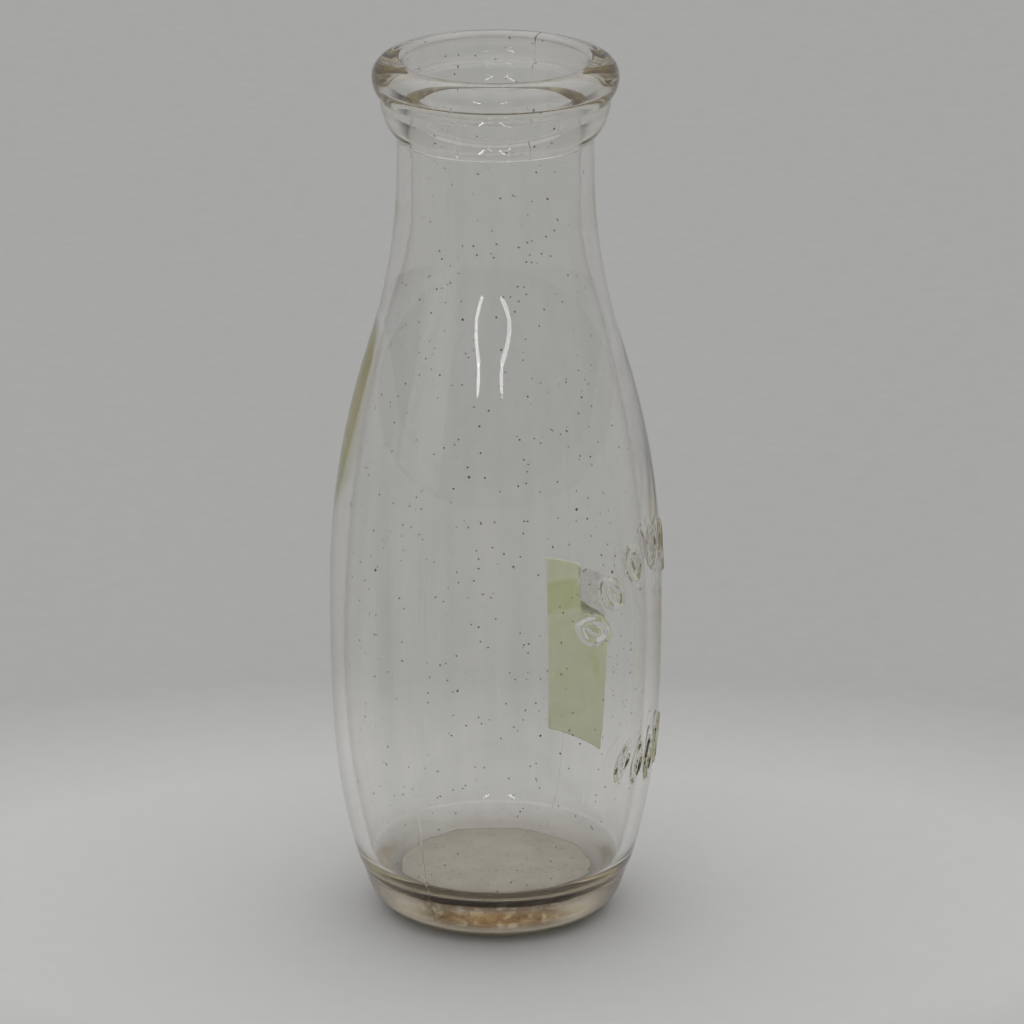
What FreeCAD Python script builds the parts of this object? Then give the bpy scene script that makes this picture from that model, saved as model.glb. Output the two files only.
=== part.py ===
import FreeCAD, Part
import math
import os
import Sketcher
from types import SimpleNamespace

# A one-pint round glass milk bottle with a cap-seat finish, the price sticker
# stuck on its back, the sticker's adhesive, and the film dried on its floor.
# Z is up, the bottle stands on z = 0 and its axis is the Z axis.
# An azimuth is measured round the axis from -Y, and grows towards +X.

# ------------------------------------------------------------------ the sheet
# Lengths are millimetres and angles are degrees.
SIZES = {
    # heights and radii of the outside
    "overall_height": 200.0,
    "belly_radius": 37.55,
    "belly_height": 67.5,       # lowest point of the belly's straight band
    "belly_arc": 347.0,         # radius of the long curve under that band
    "belly_sweep": 4.2,         # angle of that curve
    "flare_arc": 145.0,         # radius of the curve from there to the heel
    "shoulder_height": 75.0,    # highest point of the straight band
    "shoulder_arc": 197.0,      # radius of the convex shoulder
    "neck_radius": 21.95,
    "neck_height": 176.7,       # where the concave shoulder becomes the neck
    # the finish, which is the moulded lip
    "lip_radius": 27.4,
    "lip_round": 4.2,           # radius of the rolled lip above its widest place
    "lip_under": 6.8,           # and its radius below that
    "crease_height": 191.2,     # where the lip rolls in to the collar under it
    "collar_arc": 13.0,         # radius of the collar between lip and neck
    "collar_fillet": 2.0,
    "mouth_round": 1.2,         # radius of the mouth's inner top edge
    "seat_radius": 20.65,       # holds a cap of 1 5/8 inch
    "seat_depth": 6.2,          # from the top of the lip to the ledge
    "throat_radius": 19.05,     # bore of 1 1/2 inch below the ledge
    "throat_round": 0.5,
    # the base
    "bearing_inner": 15.5,      # inner radius of the ring that it stands on
    "bearing_outer": 20.0,
    "push_up": 2.2,             # depth of the hollow under the base
    "heel_round": 9.5,
    "plate_height": 12.2,       # parting line between base plate and body
    "plate_step": 0.4,          # how far the body stands out from the plate
    # the hollow
    "wall": 3.3,
    "inner_shoulder_arc": 219.0,
    "bore_bottom": 166.4,       # where the hollow's shoulder becomes its bore
    "floor_height": 9.8,        # top of the inside floor, at its middle
    "floor_arc": 260.0,
    "inner_heel": 9.5,
    # the raised ornament, two arcs of leaves round one centre
    "ornament_azimuth": 70.0,
    "ornament_height": 65.0,
    "ornament_radius": 25.3,    # to the middle of each leaf
    "leaf_length": 10.0,
    "upper_width": 6.0,
    "upper_count": 7,
    "upper_pitch": 21.0,
    "lower_width": 4.2,
    "lower_count": 5,
    "lower_pitch": 14.5,
    "stroke": 1.0,
    "vein_length": 5.0,
    "vein_width": 0.7,
    "relief": 0.5,
    "die_depth": 3.0,           # how far a leaf's die starts below the skin
    "die_length": 6.6,
    # the price sticker and its adhesive
    "sticker_azimuth": 145.8,
    "sticker_width": 18.0,
    "sticker_bottom": 29.5,
    "sticker_top": 71.0,
    "adhesive_thick": 0.08,
    "paper_thick": 0.14,
    "corner_width": 8.4,        # the corner that is torn off the paper
    "corner_drop": 10.5,
    "tear_jag": 1.5,            # raggedness of the tear
    # the film dried on the inside floor
    "film_gap": 0.02,
    "film_thick": 0.15,
    "film_radius": 19.0,
}

doc = FreeCAD.newDocument("milk_bottle")
sheet = doc.addObject("Spreadsheet::Sheet", "Sizes")
for row, (alias, value) in enumerate(SIZES.items(), start=1):
    sheet.set(f"A{row}", alias)
    sheet.set(f"B{row}", str(value))
    sheet.setAlias(f"B{row}", alias)
doc.recompute()
s = SimpleNamespace(**{alias: getattr(sheet, alias) for alias in SIZES})


# --------------------------------------------------------- drawing an outline
START, END, CENTRE = 1, 2, 3
ORIGIN = (-1, 1)
LEVEL_AXIS, UPRIGHT_AXIS = -1, -2


class Outline:
    """A closed outline in a body's sketch. Each piece is drawn close to its
    place, and the constraints, bound to the sheet, then hold it there. In the
    usual plane, a point's first number is its radius and its second its height."""

    def __init__(self, body, name, plane="YZ_Plane"):
        self.sketch = body.newObject("Sketcher::SketchObject", name)
        roles = {feature.Role: feature for feature in body.Origin.OriginFeatures}
        self.sketch.AttachmentSupport = (roles[plane], [""])
        self.sketch.MapMode = "FlatFace"

    def line(self, start, end):
        segment = Part.LineSegment(FreeCAD.Vector(*start, 0), FreeCAD.Vector(*end, 0))
        return self.sketch.addGeometry(segment, False)

    def arc(self, centre, radius, first, last):
        """Counter-clockwise from the angle first to the angle last, in radians."""
        circle = Part.Circle(FreeCAD.Vector(*centre, 0), FreeCAD.Vector(0, 0, 1), radius)
        return self.sketch.addGeometry(Part.ArcOfCircle(circle, first, last), False)

    def join(self, one, one_end, other, other_end):
        self.sketch.addConstraint(
            Sketcher.Constraint("Coincident", one, one_end, other, other_end))

    def smooth(self, one, one_end, other, other_end):
        self.sketch.addConstraint(
            Sketcher.Constraint("Tangent", one, one_end, other, other_end))

    def upright(self, segment):
        self.sketch.addConstraint(Sketcher.Constraint("Vertical", segment))

    def level(self, segment):
        self.sketch.addConstraint(Sketcher.Constraint("Horizontal", segment))

    def on_axis(self, piece, end, axis=UPRIGHT_AXIS):
        self.sketch.addConstraint(Sketcher.Constraint("PointOnObject", piece, end, axis))

    def place(self, piece, end, across=None, up=None):
        """Bind a point's distance from the origin to expressions."""
        point = self.sketch.getPoint(piece, end)
        if across is not None:
            self.bind(("DistanceX", *ORIGIN, piece, end, point.x), across)
        if up is not None:
            self.bind(("DistanceY", *ORIGIN, piece, end, point.y), up)

    def radius(self, arc, expression):
        self.bind(("Radius", arc, self.sketch.Geometry[arc].Radius), expression)

    def sweep(self, arc, expression):
        drawn = self.sketch.Geometry[arc]
        self.bind(("Angle", arc, drawn.LastParameter - drawn.FirstParameter), expression)

    def bind(self, constraint, expression):
        index = self.sketch.addConstraint(Sketcher.Constraint(*constraint))
        self.sketch.setExpression(f"Constraints[{index}]", expression)

    def finish(self):
        doc.recompute()
        if self.sketch.solve() != 0 or not self.sketch.FullyConstrained:
            raise RuntimeError(f"{self.sketch.Name} isn't held by its constraints")
        return self.sketch


def turned(centre, radius, angle):
    """The point of a circle at an angle in radians."""
    return (centre[0] + radius * math.cos(angle), centre[1] + radius * math.sin(angle))


def direction(tail, head):
    return math.atan2(head[1] - tail[1], head[0] - tail[0])


def outer_meeting(one, one_radius, other, other_radius):
    """Of the two points where two circles cross, the one farther from the axis."""
    gap = math.dist(one, other)
    along = (gap ** 2 + one_radius ** 2 - other_radius ** 2) / (2 * gap)
    aside = math.sqrt(one_radius ** 2 - along ** 2)
    heading = direction(one, other)
    foot = turned(one, along, heading)
    crossings = [turned(foot, side, heading + math.pi / 2) for side in (aside, -aside)]
    return max(crossings)


# ------------------------------------------------ the curves of the side wall
BELLY_SWEEP = math.radians(s.belly_sweep)
BELLY_CENTRE = (s.belly_radius - s.belly_arc, s.belly_height)
FLARE_CENTRE = turned(BELLY_CENTRE, s.belly_arc - s.flare_arc, -BELLY_SWEEP)


def draw_side(outline, shift, shift_text, low, high):
    """Heel flare, belly curve and straight band, shifted outwards by shift,
    from the height low to the height high. Returns the flare and the band."""
    flare_radius = s.flare_arc + shift
    lowest = math.asin((low - FLARE_CENTRE[1]) / flare_radius)
    flare = outline.arc(FLARE_CENTRE, flare_radius, lowest, -BELLY_SWEEP)
    belly = outline.arc(BELLY_CENTRE, s.belly_arc + shift, -BELLY_SWEEP, 0)
    band_radius = s.belly_radius + shift
    band = outline.line((band_radius, s.belly_height), (band_radius, high))
    outline.smooth(flare, END, belly, START)
    outline.smooth(belly, END, band, START)
    outline.upright(band)
    outline.radius(flare, f"Sizes.flare_arc + {shift_text}")
    outline.radius(belly, f"Sizes.belly_arc + {shift_text}")
    outline.sweep(belly, "Sizes.belly_sweep")
    outline.place(band, START, f"Sizes.belly_radius + {shift_text}", "Sizes.belly_height")
    return flare, band


def draw_wall(outline, shift, shift_text, low, curve, top):
    """The side, the shoulder and the neck. curve gives the shoulder's radius,
    the neck's radius and the height where the neck begins, each as its value
    and the expression that binds it. Returns the flare and the neck's straight
    part, whose lower and upper ends are left free."""
    (shoulder_radius, shoulder_text), (neck, neck_text), (neck_low, low_text) = curve
    flare, band = draw_side(outline, shift, shift_text, low, s.shoulder_height)
    side = s.belly_radius + shift
    drop = side - neck
    rise = neck_low - s.shoulder_height
    both_radii = (drop ** 2 + rise ** 2) / (2 * drop)
    turn = math.asin(rise / both_radii)
    hollow_radius = both_radii - shoulder_radius
    shoulder_centre = (side - shoulder_radius, s.shoulder_height)
    hollow_centre = (neck + hollow_radius, neck_low)
    shoulder = outline.arc(shoulder_centre, shoulder_radius, 0, turn)
    hollow = outline.arc(hollow_centre, hollow_radius, math.pi, math.pi + turn)
    neck_line = outline.line((neck, neck_low), (neck, top))
    outline.smooth(band, END, shoulder, START)
    outline.smooth(shoulder, END, hollow, END)
    outline.smooth(hollow, START, neck_line, START)
    outline.upright(neck_line)
    outline.place(band, END, up="Sizes.shoulder_height")
    outline.radius(shoulder, shoulder_text)
    outline.place(neck_line, START, neck_text, low_text)
    return flare, neck_line


# -------------------------------------------------------- the glass, outside
def draw_outside(body, name, swell, swell_text):
    """The bottle's outside as a solid with no hollow. swell pushes the side
    and the neck outwards, and leaves the base and the finish alone."""
    outline = Outline(body, name)
    step_top = s.plate_height + s.plate_step
    flare_angle = math.asin((step_top - FLARE_CENTRE[1]) / (s.flare_arc + swell))
    step_outer = turned(FLARE_CENTRE, s.flare_arc + swell, flare_angle)
    step_inner = (step_outer[0] - s.plate_step, s.plate_height)
    heel_centre = (s.bearing_outer, s.heel_round)
    reach = math.dist(heel_centre, step_inner)
    heel_angle = direction(heel_centre, step_inner) - math.acos(s.heel_round / reach)
    heel_end = turned(heel_centre, s.heel_round, heel_angle)

    # base: hollow under it, bearing ring, heel, base plate and its parting step
    hollow_radius = (s.bearing_inner ** 2 + s.push_up ** 2) / (2 * s.push_up)
    hollow_centre = (0, s.push_up - hollow_radius)
    hollow_angle = direction(hollow_centre, (s.bearing_inner, 0))
    hollow = outline.arc(hollow_centre, hollow_radius, hollow_angle, math.pi / 2)
    bearing = outline.line((s.bearing_inner, 0), (s.bearing_outer, 0))
    heel = outline.arc(heel_centre, s.heel_round, -math.pi / 2, heel_angle)
    plate = outline.line(heel_end, step_inner)
    step = outline.line(step_inner, step_outer)

    # finish: fillet, collar and rolled lip, which meet in a crease
    neck = s.neck_radius + swell
    lip_centre = (s.lip_radius - s.lip_round, s.overall_height - s.lip_round)
    under_centre = (s.lip_radius - s.lip_under, lip_centre[1])
    crease_angle = math.asin((s.crease_height - under_centre[1]) / s.lip_under)
    crease = turned(under_centre, s.lip_under, crease_angle)
    collar_centre = (crease[0] - s.collar_arc, crease[1])
    fillet_x = neck + s.collar_fillet
    reach = s.collar_arc + s.collar_fillet
    fillet_z = collar_centre[1] - math.sqrt(reach ** 2 - (fillet_x - collar_centre[0]) ** 2)
    fillet_centre = (fillet_x, fillet_z)
    collar_low = direction(collar_centre, fillet_centre)
    curve = [(s.shoulder_arc + swell, f"Sizes.shoulder_arc + {swell_text}"),
             (neck, f"Sizes.neck_radius + {swell_text}"),
             (s.neck_height, "Sizes.neck_height")]
    flare, neck_line = draw_wall(outline, swell, swell_text, step_top, curve, fillet_z)
    fillet = outline.arc(fillet_centre, s.collar_fillet, collar_low + math.pi, math.pi)
    collar = outline.arc(collar_centre, s.collar_arc, collar_low, 0)
    under = outline.arc(under_centre, s.lip_under, crease_angle, 0)
    lip = outline.arc(lip_centre, s.lip_round, 0, math.pi / 2)
    top = outline.line((lip_centre[0], s.overall_height), (0, s.overall_height))
    axis = outline.line((0, s.overall_height), (0, s.push_up))

    outline.on_axis(hollow, CENTRE)
    outline.join(hollow, START, bearing, START)
    outline.join(axis, END, hollow, END)
    outline.place(hollow, END, up="Sizes.push_up")
    outline.on_axis(bearing, START, LEVEL_AXIS)
    outline.level(bearing)
    outline.place(bearing, START, across="Sizes.bearing_inner")
    outline.place(bearing, END, across="Sizes.bearing_outer")
    outline.smooth(bearing, END, heel, START)
    outline.smooth(heel, END, plate, START)
    outline.radius(heel, "Sizes.heel_round")
    outline.join(plate, END, step, START)
    outline.join(step, END, flare, START)
    outline.place(step, START, up="Sizes.plate_height")
    outline.bind(("DistanceX", step, START, step, END, s.plate_step), "Sizes.plate_step")
    outline.bind(("DistanceY", step, START, step, END, s.plate_step), "Sizes.plate_step")
    outline.smooth(neck_line, END, fillet, END)
    outline.smooth(fillet, START, collar, START)
    outline.join(collar, END, under, START)
    outline.smooth(under, END, lip, START)
    outline.smooth(lip, END, top, START)
    outline.radius(fillet, "Sizes.collar_fillet")
    outline.radius(collar, "Sizes.collar_arc")
    outline.radius(under, "Sizes.lip_under")
    outline.radius(lip, "Sizes.lip_round")
    outline.place(under, START, up="Sizes.crease_height")
    outline.place(lip, START, up="Sizes.overall_height - Sizes.lip_round")
    outline.place(lip, CENTRE, across="Sizes.lip_radius - Sizes.lip_round")
    outline.place(collar, CENTRE, up="Sizes.crease_height")
    outline.level(top)
    outline.join(top, END, axis, START)
    outline.place(axis, START, up="Sizes.overall_height")
    outline.upright(axis)
    outline.on_axis(axis, END)
    return outline.finish()


# --------------------------------------------------------- the glass, inside
FLOOR_CENTRE = (0, s.floor_height - s.floor_arc)


def draw_floor(outline, lift, lift_text, edge):
    """The curve of the inside floor, lifted into the hollow by lift, from the
    angle edge to the axis. Its outer end is left free."""
    floor = outline.arc(FLOOR_CENTRE, s.floor_arc + lift, edge, math.pi / 2)
    outline.on_axis(floor, CENTRE)
    outline.on_axis(floor, END)
    outline.place(floor, END, up=f"Sizes.floor_height + {lift_text}")
    outline.radius(floor, f"Sizes.floor_arc + {lift_text}")
    return floor


def draw_inside(body):
    outline = Outline(body, "inside_outline")
    ledge = s.overall_height - s.seat_depth
    heel_centre = outer_meeting(FLOOR_CENTRE, s.floor_arc + s.inner_heel,
                                FLARE_CENTRE, s.flare_arc - s.wall - s.inner_heel)
    floor_edge = direction(FLOOR_CENTRE, heel_centre)
    heel_turn = direction(FLARE_CENTRE, heel_centre)
    heel_end = turned(heel_centre, s.inner_heel, heel_turn)
    floor = draw_floor(outline, 0, "0", floor_edge)
    heel = outline.arc(heel_centre, s.inner_heel, floor_edge - math.pi, heel_turn)
    curve = [(s.inner_shoulder_arc, "Sizes.inner_shoulder_arc"),
             (s.throat_radius, "Sizes.throat_radius"),
             (s.bore_bottom, "Sizes.bore_bottom")]
    flare, throat = draw_wall(outline, -s.wall, "0 - Sizes.wall", heel_end[1],
                              curve, ledge - s.throat_round)
    throat_edge = (s.throat_radius + s.throat_round, ledge - s.throat_round)
    mouth_edge = (s.seat_radius + s.mouth_round, s.overall_height - s.mouth_round)
    rounding = outline.arc(throat_edge, s.throat_round, math.pi / 2, math.pi)
    shelf = outline.line((throat_edge[0], ledge), (s.seat_radius, ledge))
    seat = outline.line((s.seat_radius, ledge), (s.seat_radius, mouth_edge[1]))
    mouth = outline.arc(mouth_edge, s.mouth_round, math.pi / 2, math.pi)
    top = outline.line((mouth_edge[0], s.overall_height), (0, s.overall_height))
    axis = outline.line((0, s.overall_height), (0, s.floor_height))

    outline.smooth(floor, START, heel, START)
    outline.radius(heel, "Sizes.inner_heel")
    outline.smooth(heel, END, flare, START)
    outline.smooth(throat, END, rounding, END)
    outline.radius(rounding, "Sizes.throat_round")
    outline.smooth(rounding, START, shelf, START)
    outline.level(shelf)
    outline.place(shelf, END, "Sizes.seat_radius", "Sizes.overall_height - Sizes.seat_depth")
    outline.join(shelf, END, seat, START)
    outline.upright(seat)
    outline.smooth(seat, END, mouth, END)
    outline.radius(mouth, "Sizes.mouth_round")
    outline.smooth(mouth, START, top, START)
    outline.level(top)
    outline.place(axis, START, up="Sizes.overall_height")
    outline.join(top, END, axis, START)
    outline.upright(axis)
    outline.join(axis, END, floor, END)
    return outline.finish()


def add_revolution(body, sketch, name, kind="PartDesign::Revolution"):
    feature = body.newObject(kind, name)
    feature.Profile = sketch
    feature.ReferenceAxis = (sketch, ["V_Axis"])
    feature.Angle = 360
    body.Tip = feature
    return feature


def make_blown_glass():
    """The plain bottle: its outside turned about the axis, then its hollow."""
    body = doc.addObject("PartDesign::Body", "blown_glass")
    add_revolution(body, draw_outside(body, "outside_outline", 0, "0"), "outside")
    doc.recompute()
    full = body.Shape.Volume
    add_revolution(body, draw_inside(body), "hollow", "PartDesign::Groove")
    doc.recompute()
    if body.Shape.Volume > full / 2:
        raise RuntimeError("the hollow wasn't cut")
    return body


# ------------------------------------------------------- the raised ornament
def draw_leaf_edge(outline, length, width, length_text, width_text):
    """A pointed oval of two arcs that stands upright about the origin."""
    radius = (length ** 2 + width ** 2) / (4 * width)
    offset = radius - width / 2
    half = math.asin(length / 2 / radius)
    right = outline.arc((-offset, 0), radius, -half, half)
    left = outline.arc((offset, 0), radius, math.pi - half, math.pi + half)
    outline.join(right, END, left, START)
    outline.join(left, END, right, START)
    outline.on_axis(right, START)
    outline.on_axis(right, END)
    outline.on_axis(right, CENTRE, LEVEL_AXIS)
    outline.place(right, END, up=f"({length_text}) / 2")
    radius_text = f"(({length_text})^2 + ({width_text})^2) / (4 * ({width_text}))"
    outline.radius(right, radius_text)
    outline.radius(left, radius_text)


def make_leaf_die(name, width_text, width):
    """One leaf, cut straight through the glass's skin: a hollow pointed oval
    with a slim vein in it. The stem of the leaf points along Z."""
    body = doc.addObject("PartDesign::Body", name)
    outline = Outline(body, name + "_outline")
    tip_stroke = s.stroke * s.leaf_length / width
    tip_text = f"Sizes.stroke * Sizes.leaf_length / {width_text}"
    draw_leaf_edge(outline, s.leaf_length, width, "Sizes.leaf_length", width_text)
    draw_leaf_edge(outline, s.leaf_length - 2 * tip_stroke, width - 2 * s.stroke,
                   f"Sizes.leaf_length - 2 * {tip_text}", f"{width_text} - 2 * Sizes.stroke")
    draw_leaf_edge(outline, s.vein_length, s.vein_width,
                   "Sizes.vein_length", "Sizes.vein_width")
    sketch = outline.finish()
    pad = body.newObject("PartDesign::Pad", name + "_pad")
    pad.Profile = sketch
    pad.Type = "Length"
    pad.setExpression("Length", "Sizes.die_length")
    body.Tip = pad
    body.setExpression("Placement.Base.x", "Sizes.belly_radius - Sizes.die_depth")
    doc.recompute()
    return body


def leaf_placements(count, pitch, middle):
    """The leaves of one arc lie on the wall round the ornament's centre, each
    pointing away from it. middle is the direction of the arc's middle leaf in
    degrees: 90 is straight up and 270 straight down."""
    for index in range(count):
        angle = middle + (index - (count - 1) / 2) * pitch
        along = s.ornament_radius * math.cos(math.radians(angle))
        up = s.ornament_radius * math.sin(math.radians(angle))
        azimuth = s.ornament_azimuth - 90 + math.degrees(along / s.belly_radius)
        lean = FreeCAD.Rotation(FreeCAD.Vector(1, 0, 0), angle - 90)
        swing = FreeCAD.Rotation(FreeCAD.Vector(0, 0, 1), azimuth)
        yield FreeCAD.Placement(FreeCAD.Vector(0, 0, s.ornament_height + up), swing * lean)


def make_ornament():
    """Every leaf, trimmed to a skin that stands proud of the wall by the relief.
    A Body holds one solid, so the placed copies are plain features."""
    skin = doc.addObject("PartDesign::Body", "relief_skin")
    sketch = draw_outside(skin, "relief_outline", s.relief, "Sizes.relief")
    add_revolution(skin, sketch, "relief_solid")
    arcs = [
        (make_leaf_die("upper_leaf", "Sizes.upper_width", s.upper_width),
         leaf_placements(int(s.upper_count), s.upper_pitch, 90)),
        (make_leaf_die("lower_leaf", "Sizes.lower_width", s.lower_width),
         leaf_placements(int(s.lower_count), s.lower_pitch, 270)),
    ]
    copies = []
    for die, placements in arcs:
        for placement in placements:
            copy = doc.addObject("Part::Feature", die.Name + "_copy")
            copy.Shape = die.Shape
            copy.Placement = placement.multiply(die.Placement)
            copies.append(copy)
    leaves = doc.addObject("Part::Compound", "leaves")
    leaves.Links = copies
    ornament = doc.addObject("Part::Common", "ornament")
    ornament.Base = skin
    ornament.Tool = leaves
    doc.recompute()
    return ornament


def make_bottle():
    bottle = doc.addObject("Part::Fuse", "glass_bottle")
    bottle.Base = make_blown_glass()
    bottle.Tool = make_ornament()
    doc.recompute()
    return bottle


# ------------------------------------------------- sticker, adhesive and film
def make_layer(name, inner, inner_text, outer, outer_text):
    """A thin curved rectangle on the wall, between two distances from it.
    It is turned about the Z axis, half to each side of +Y, and then placed."""
    body = doc.addObject("PartDesign::Body", name)
    outline = Outline(body, name + "_outline")
    ends = []
    for shift, shift_text in ((inner, inner_text), (outer, outer_text)):
        flare, band = draw_side(outline, shift, shift_text, s.sticker_bottom, s.sticker_top)
        outline.place(flare, START, up="Sizes.sticker_bottom")
        outline.place(band, END, up="Sizes.sticker_top")
        ends.append((flare, band))
    (inner_flare, inner_band), (outer_flare, outer_band) = ends
    for inner_piece, outer_piece, end in ((inner_flare, outer_flare, START),
                                          (inner_band, outer_band, END)):
        first = outline.sketch.getPoint(inner_piece, end)
        last = outline.sketch.getPoint(outer_piece, end)
        edge = outline.line((first.x, first.y), (last.x, last.y))
        outline.join(edge, START, inner_piece, end)
        outline.join(edge, END, outer_piece, end)
    turn = add_revolution(body, outline.finish(), name + "_turn")
    turn.Midplane = True
    turn.setExpression("Angle", "Sizes.sticker_width / Sizes.belly_radius * 180 / pi")
    body.setExpression("Placement.Rotation.Angle", "Sizes.sticker_azimuth - 180")
    doc.recompute()
    return body


def tear_corner(body):
    """The paper's top corner on the ornament's side is torn off. Before the
    sticker is placed, that side is +X. The tear is a ragged line from the
    side edge, across and up to the top edge."""
    outline = Outline(body, "corner_outline", "XZ_Plane")
    edge = s.sticker_width / 2
    edge_text = "Sizes.sticker_width / 2"
    low = s.sticker_top - s.corner_drop
    low_text = "Sizes.sticker_top - Sizes.corner_drop"
    inner = edge - s.corner_width
    inner_text = f"{edge_text} - Sizes.corner_width"
    beyond = s.sticker_top + s.tear_jag
    beyond_text = "Sizes.sticker_top + Sizes.tear_jag"
    corners = [
        (2 * edge, low, f"2 * {edge_text}", low_text),
        (2 * edge, beyond, f"2 * {edge_text}", beyond_text),
        (inner + s.tear_jag, beyond, f"{inner_text} + Sizes.tear_jag", beyond_text),
        (inner, s.sticker_top - s.tear_jag, inner_text, "Sizes.sticker_top - Sizes.tear_jag"),
        (inner + s.tear_jag, low + s.tear_jag,
         f"{inner_text} + Sizes.tear_jag", f"{low_text} + Sizes.tear_jag"),
        (edge, low, edge_text, low_text),
    ]
    places = [corner[:2] for corner in corners]
    edges = [outline.line(a, b) for a, b in zip(places, places[1:] + places[:1])]
    for line, following in zip(edges, edges[1:] + edges[:1]):
        outline.join(line, END, following, START)
    for line, (_, _, across_text, up_text) in zip(edges, corners):
        outline.place(line, START, across_text, up_text)
    sketch = outline.finish()
    whole = body.Shape.Volume
    torn = s.corner_width * s.corner_drop * s.paper_thick
    pocket = body.newObject("PartDesign::Pocket", "torn_corner")
    pocket.Profile = sketch
    pocket.Type = "ThroughAll"
    pocket.Midplane = True
    body.Tip = pocket
    doc.recompute()
    if not torn / 2 < whole - body.Shape.Volume < torn:
        raise RuntimeError("the paper's corner wasn't torn")


def make_adhesive():
    return make_layer("sticker_adhesive", 0, "0", s.adhesive_thick, "Sizes.adhesive_thick")


def make_sticker():
    body = make_layer("price_sticker", s.adhesive_thick, "Sizes.adhesive_thick",
                      s.adhesive_thick + s.paper_thick,
                      "Sizes.adhesive_thick + Sizes.paper_thick")
    tear_corner(body)
    return body


def make_film():
    """The dried film is a thin skin on the inside floor."""
    body = doc.addObject("PartDesign::Body", "dried_film")
    outline = Outline(body, "film_outline")
    layers = []
    for lift, lift_text in ((s.film_gap, "Sizes.film_gap"),
                            (s.film_gap + s.film_thick, "Sizes.film_gap + Sizes.film_thick")):
        edge = math.acos(s.film_radius / (s.floor_arc + lift))
        layer = draw_floor(outline, lift, lift_text, edge)
        outline.place(layer, START, across="Sizes.film_radius")
        layers.append(layer)
    low, high = layers
    for end in (START, END):
        first = outline.sketch.getPoint(low, end)
        last = outline.sketch.getPoint(high, end)
        edge = outline.line((first.x, first.y), (last.x, last.y))
        outline.join(edge, START, low, end)
        outline.join(edge, END, high, end)
    add_revolution(body, outline.finish(), "film_turn")
    doc.recompute()
    return body


# ------------------------------------------------------------- make and write
parts = [make_bottle(), make_adhesive(), make_sticker(), make_film()]
for part in parts:
    part.Label = part.Name

doc.recompute()
for item in doc.Objects:
    if "Invalid" in item.State or "Error" in item.State:
        raise RuntimeError(f"{item.Name} failed: {item.State}")
for part in parts:
    if part.Shape.isNull() or not part.Shape.isValid() or len(part.Shape.Solids) != 1:
        raise RuntimeError(f"{part.Label} isn't one sound solid")

os.makedirs("parts", exist_ok=True)
for part in parts:
    part.Shape.exportStep(f"parts/{part.Label}.step")
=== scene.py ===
import math

import bpy
import numpy as np
from mathutils import Matrix, Vector
from mathutils.bvhtree import BVHTree


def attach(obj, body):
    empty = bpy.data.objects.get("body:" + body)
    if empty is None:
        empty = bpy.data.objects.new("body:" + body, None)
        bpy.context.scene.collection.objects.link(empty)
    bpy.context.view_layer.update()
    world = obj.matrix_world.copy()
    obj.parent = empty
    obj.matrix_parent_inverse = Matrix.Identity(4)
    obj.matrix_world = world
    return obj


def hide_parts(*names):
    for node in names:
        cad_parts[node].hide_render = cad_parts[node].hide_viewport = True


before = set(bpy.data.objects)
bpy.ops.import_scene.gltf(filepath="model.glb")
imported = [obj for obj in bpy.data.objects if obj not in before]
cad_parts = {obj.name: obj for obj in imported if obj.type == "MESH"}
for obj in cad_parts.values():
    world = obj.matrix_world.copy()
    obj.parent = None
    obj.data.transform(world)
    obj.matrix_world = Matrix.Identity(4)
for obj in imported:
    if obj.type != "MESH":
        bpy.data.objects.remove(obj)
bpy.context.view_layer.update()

# A glass milk bottle with the rest of a paper sticker on its back. Metres, +Z up.
# Azimuths are angles round the axis from -Y, and grow towards +X.
MM = 0.001

# However sharply an outline bends, rows of the mesh stay this far apart.
CLOSEST_ROWS = 0.11 * MM


# ------------------------------------------------------------------- helpers
def new_piece(name, vertices, faces):
    """A smooth-shaded mesh that belongs to the bottle's only body."""
    mesh = bpy.data.meshes.new(name)
    mesh.from_pydata(vertices, [], faces)
    mesh.validate()
    mesh.polygons.foreach_set("use_smooth", [True] * len(mesh.polygons))
    mesh.update()
    piece = bpy.data.objects.new(name, mesh)
    bpy.context.scene.collection.objects.link(piece)
    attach(piece, "root")
    return piece


def smoothstep(low, high, value):
    """Rises softly from 0 at low to 1 at high. With low above high it falls."""
    t = np.clip((value - low) / (high - low), 0, 1)
    return t * t * (3 - 2 * t)


def ripples(azimuth, height, seed, waves, turns, rises):
    """Smooth waviness, mostly between -1 and 1: a sum of waves that each go
    round the bottle a whole number of times and climb at their own rate."""
    rng = np.random.default_rng(seed)
    total = np.zeros(np.broadcast(azimuth, height).shape)
    for _ in range(waves):
        around = rng.integers(turns[0], turns[1] + 1)
        rise = rng.uniform(*rises) * rng.choice([-1, 1])
        phase = rng.uniform(0, 2 * math.pi)
        total += np.sin(around * azimuth + rise * height + phase)
    return total / math.sqrt(waves)


def polar(azimuth, radius, height):
    """Points at these places round the axis."""
    return np.stack([radius * np.sin(azimuth), -radius * np.cos(azimuth),
                     np.broadcast_to(height, np.broadcast(azimuth, radius).shape)], axis=-1)


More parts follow.
